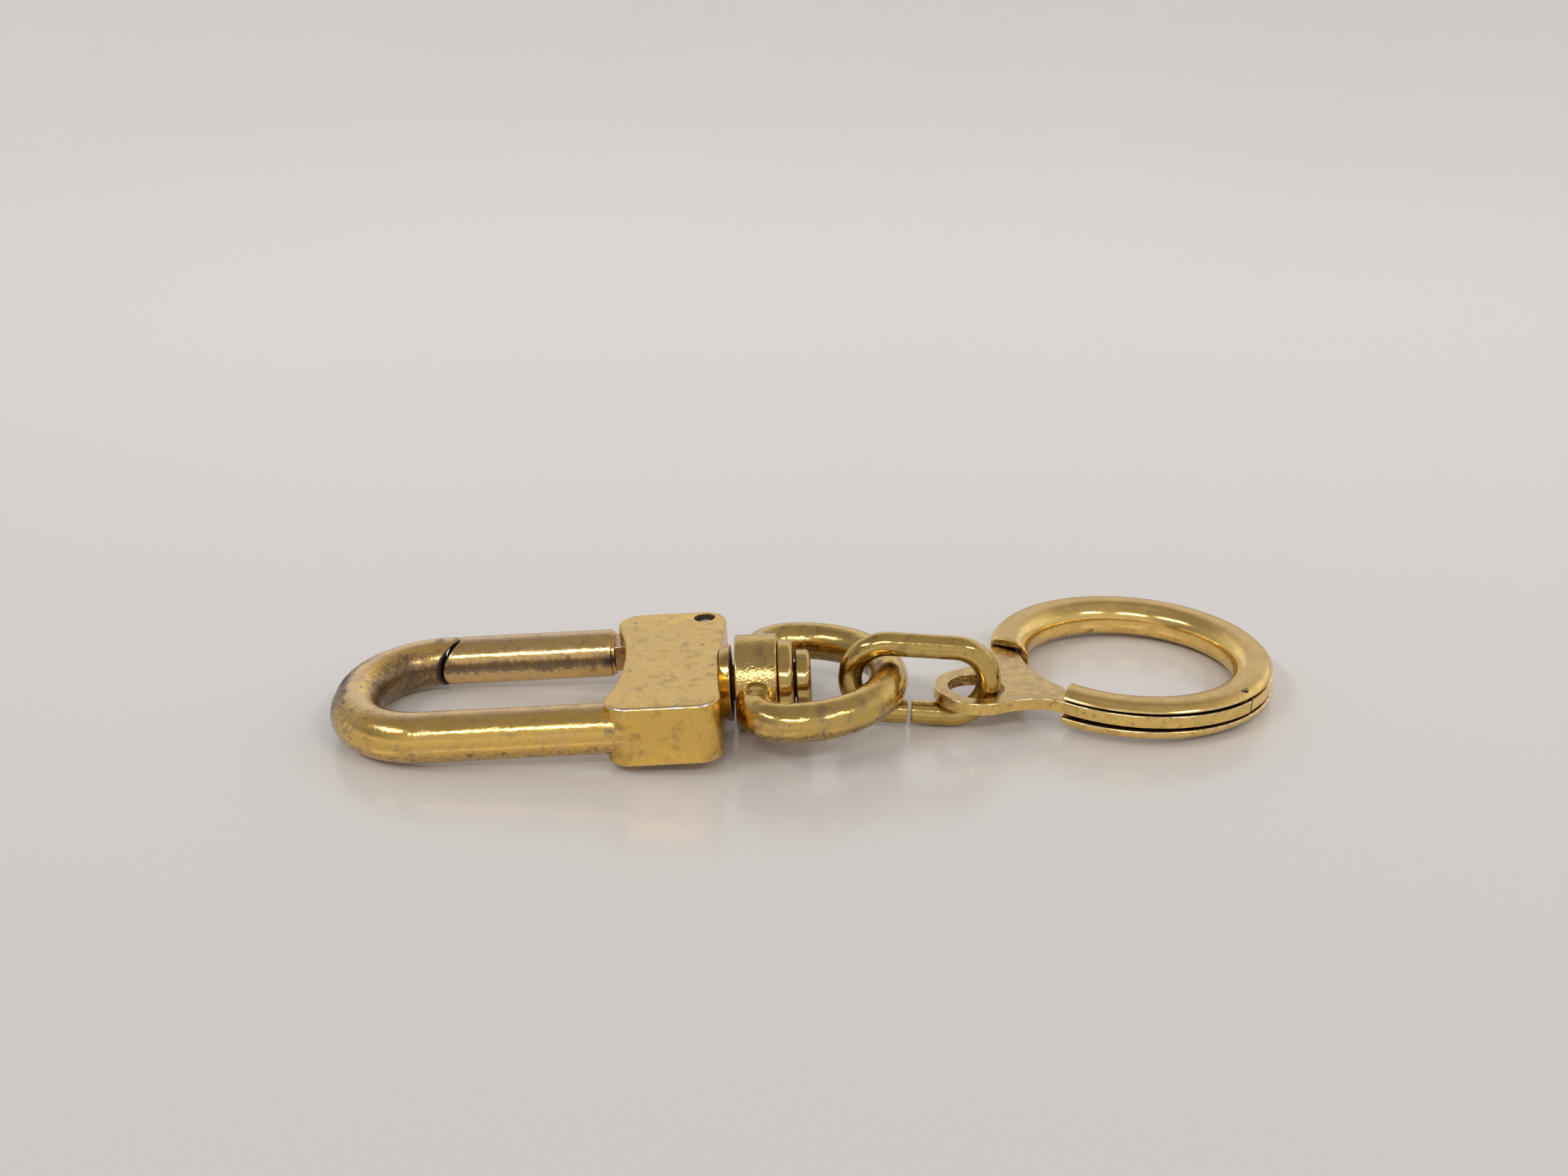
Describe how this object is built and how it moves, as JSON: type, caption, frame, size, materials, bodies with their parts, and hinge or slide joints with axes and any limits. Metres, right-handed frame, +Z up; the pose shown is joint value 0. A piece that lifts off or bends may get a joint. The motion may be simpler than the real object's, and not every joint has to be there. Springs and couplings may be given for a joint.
{
  "type": "snap hook key holder",
  "caption": "Metal key holder: a sprung snap hook on a swivel, joined by an oval link to a slotted key ring that opens on a flat tab.",
  "frame": {"origin": "middle of the bottom of the bounding box, on the plane the holder lies on", "axes": "+X along the hook's length, from the bow towards the key ring; +Y towards the gate side; +Z up"},
  "size_m": [0.0873, 0.0325, 0.0092],
  "materials": {
    "worn_brass": "worn satin gold plating",
    "bright_brass": "polished, scratched",
    "dark_brass": "tarnished",
    "spring_steel": "plain wire"
  },
  "bodies": {
    "hook": {"hook_block": "worn_brass", "hook_bow": "worn_brass", "gate_pin": "dark_brass", "gate_spring": "spring_steel", "swivel_pin": "bright_brass", "swivel_collar": "bright_brass", "swivel_washer": "bright_brass"},
    "gate": {"gate_bar": "dark_brass"},
    "eye": {"swivel_eye": "worn_brass"},
    "link": {"chain_link": "bright_brass"},
    "tab": {"ring_tab": "bright_brass"},
    "ring": {"ring_body": "bright_brass", "ring_rivet": "dark_brass"}
  },
  "joints": [
    {"name": "gate_swing", "type": "hinge", "parent": "hook", "child": "gate", "pos_m": [-0.01009, 0.00252, 0.00412], "axis": [-0.0598, 0, 0.9982], "range_deg": [0, 18], "stiffness_Nm_per_rad": 0.008, "springref_deg": -17.19, "deforming": ["gate_spring"]},
    {"name": "eye_swivel", "type": "hinge", "parent": "hook", "child": "eye", "pos_m": [-0.0084, -0.00605, 0.00427], "axis": [0.999, 0, 0.0441], "continuous": true},
    {"name": "link_pitch", "type": "hinge", "parent": "eye", "child": "link", "pos_m": [0.00676, -0.00591, 0.0048], "axis": [0, 1, 0], "range_deg": [-60, 60]},
    {"name": "tab_yaw", "type": "hinge", "parent": "link", "child": "tab", "pos_m": [0.01554, -0.00593, 0.00301], "axis": [0.0319, 0.0166, 0.9994], "range_deg": [-75, 45]},
    {"name": "ring_opening", "type": "hinge", "parent": "tab", "child": "ring", "pos_m": [0.0388, -0.00594, 0.00207], "axis": [-0.0319, -0.0166, -0.9994], "range_deg": [0, 60]}
  ]
}
